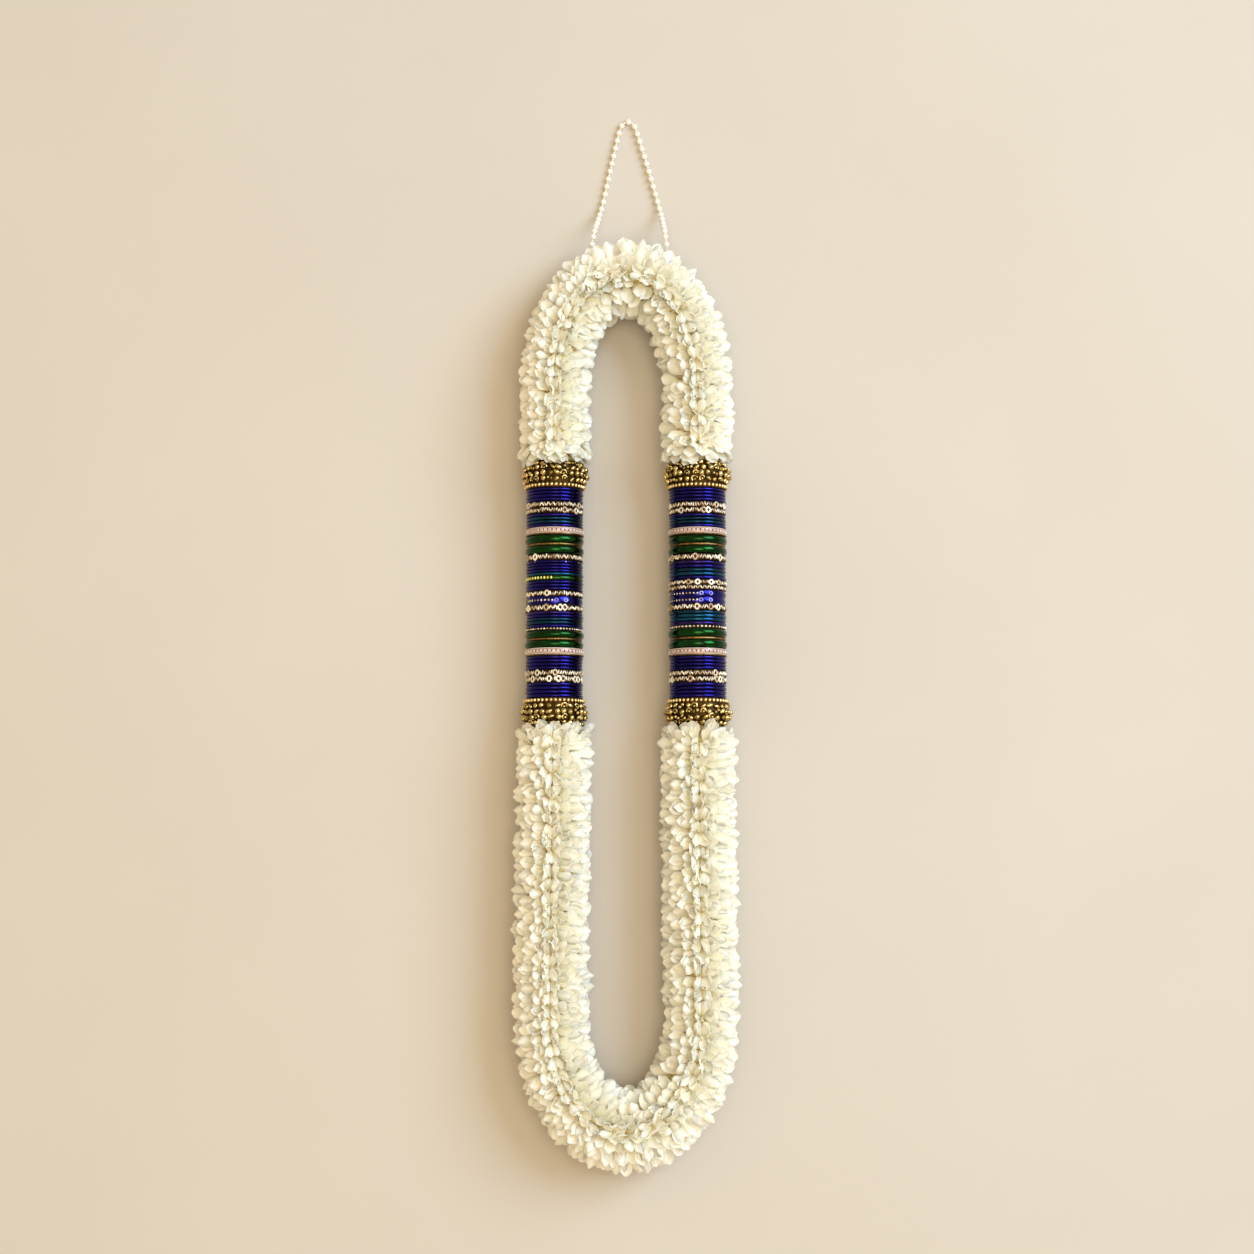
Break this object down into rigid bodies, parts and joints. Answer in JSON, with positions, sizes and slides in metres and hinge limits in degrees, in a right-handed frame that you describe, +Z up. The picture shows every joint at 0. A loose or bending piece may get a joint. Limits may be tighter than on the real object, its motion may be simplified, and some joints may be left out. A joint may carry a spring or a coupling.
{
  "type": "temple garland",
  "caption": "Long closed loop of whorled white petals with two stacks of glass bangles between studded gold caps and a pearl strand to hang it by.",
  "frame": {"origin": "on the surface that the garland lies on, under the middle of its loop, the pearl strand left out", "axes": "+Y along the loop towards the pearl strand that it hangs by, +X to the right in the picture, +Z up out of the surface and towards the viewer"},
  "size_m": [0.2366, 1.1115, 0.0806],
  "materials": {
    "petal": "soft, slightly waxy ivory white",
    "rope": "twisted cotton",
    "former": "plain",
    "gold": "antique gold with dark recesses",
    "pearl": "pearl lustre",
    "blue": "glossy deep blue glass",
    "teal": "glossy blue and teal glass",
    "green": "glossy green glass with a gold line",
    "lime": "lime glass with gold glitter",
    "faceted": "cut dark blue glass",
    "glitter": "cream and gold stones",
    "band": "silver pink with dark red dots",
    "beaded": "fine gold beads"
  },
  "bodies": {
    "root": {"arch_left_leg": "petal", "arch_left_side": "petal", "arch_left_end": "petal", "arch_right_end": "petal", "arch_right_side": "petal", "arch_right_leg": "petal", "bend_left_leg": "petal", "bend_left_side": "petal", "bend_left_end": "petal", "bend_right_end": "petal", "bend_right_side": "petal", "bend_right_leg": "petal", "core_rope": "rope", "left_former": "former", "right_former": "former", "left_upper_cap": "gold", "left_lower_cap": "gold", "right_upper_cap": "gold", "right_lower_cap": "gold", "pearl_strand": "pearl", "left_bangles_01_blue": "blue", "left_bangles_02_glitter": "glitter", "left_bangles_03_teal": "teal", "left_bangles_04_band": "band", "left_bangles_05_green": "green", "left_bangles_06_glitter": "glitter", "left_bangles_07_blue": "blue", "left_bangles_08_lime": "lime", "left_bangles_09_blue": "blue", "left_bangles_10_glitter": "glitter", "left_bangles_11_faceted": "faceted", "left_bangles_12_glitter": "glitter", "left_bangles_13_teal": "teal", "left_bangles_14_beaded": "beaded", "left_bangles_15_green": "green", "left_bangles_16_band": "band", "left_bangles_17_blue": "blue", "left_bangles_18_glitter": "glitter", "left_bangles_19_blue": "blue", "right_bangles_01_blue": "blue", "right_bangles_02_glitter": "glitter", "right_bangles_03_teal": "teal", "right_bangles_04_band": "band", "right_bangles_05_green": "green", "right_bangles_06_glitter": "glitter", "right_bangles_07_teal": "teal", "right_bangles_08_glitter": "glitter", "right_bangles_09_faceted": "faceted", "right_bangles_10_glitter": "glitter", "right_bangles_11_teal": "teal", "right_bangles_12_beaded": "beaded", "right_bangles_13_green": "green", "right_bangles_14_band": "band", "right_bangles_15_blue": "blue", "right_bangles_16_glitter": "glitter", "right_bangles_17_blue": "blue"}
  },
  "joints": []
}
